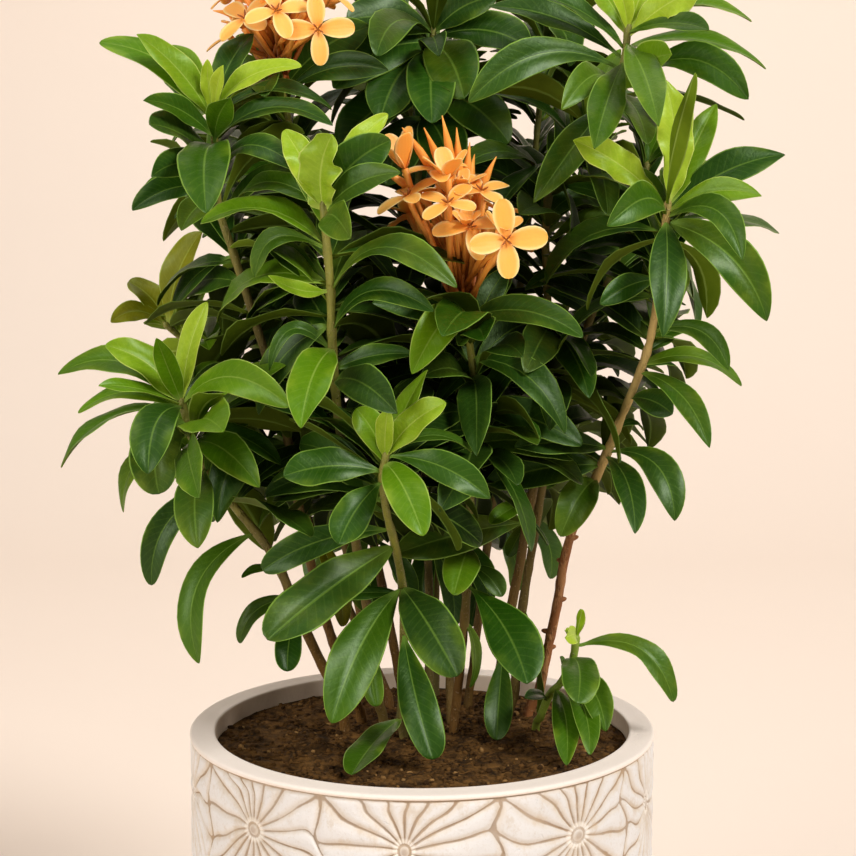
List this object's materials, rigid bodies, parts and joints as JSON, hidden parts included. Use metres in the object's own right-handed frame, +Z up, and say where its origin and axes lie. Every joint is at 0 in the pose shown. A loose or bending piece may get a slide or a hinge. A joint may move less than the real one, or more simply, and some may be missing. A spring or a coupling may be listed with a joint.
{
  "type": "potted ixora",
  "caption": "Bushy flowering shrub with narrow opposite leaves and two umbels of small four-petalled flowers, in a round pot carved with staggered many-petalled flowers.",
  "frame": {"origin": "centre of the pot's flat underside, on the surface that the pot stands on", "axes": "+Z up along the pot's axis, -Y towards the viewer of the picture, +X to that viewer's right"},
  "size_m": [0.3036, 0.2312, 0.5098],
  "materials": {
    "pot": "matte",
    "soil": "matte",
    "foliage": "satin",
    "flowers": "matte"
  },
  "bodies": {
    "root": {"pot": "pot", "soil": "soil", "stem_east": "foliage", "stem_north_east": "foliage", "stem_right_back": "foliage", "stem_middle_bloom": "foliage", "stem_centre_tall": "foliage", "stem_front_low": "foliage", "stem_north_west": "foliage", "stem_west": "foliage", "stem_left_back": "foliage", "stem_left_bloom": "foliage", "stem_back_centre": "foliage", "stem_back_right": "foliage", "stem_rear_left": "foliage", "stem_rear_right": "foliage", "stem_rear_centre": "foliage", "stem_rear_top": "foliage", "sprout_right": "foliage", "flower_head_middle": "flowers", "flower_head_top": "flowers"}
  },
  "joints": []
}
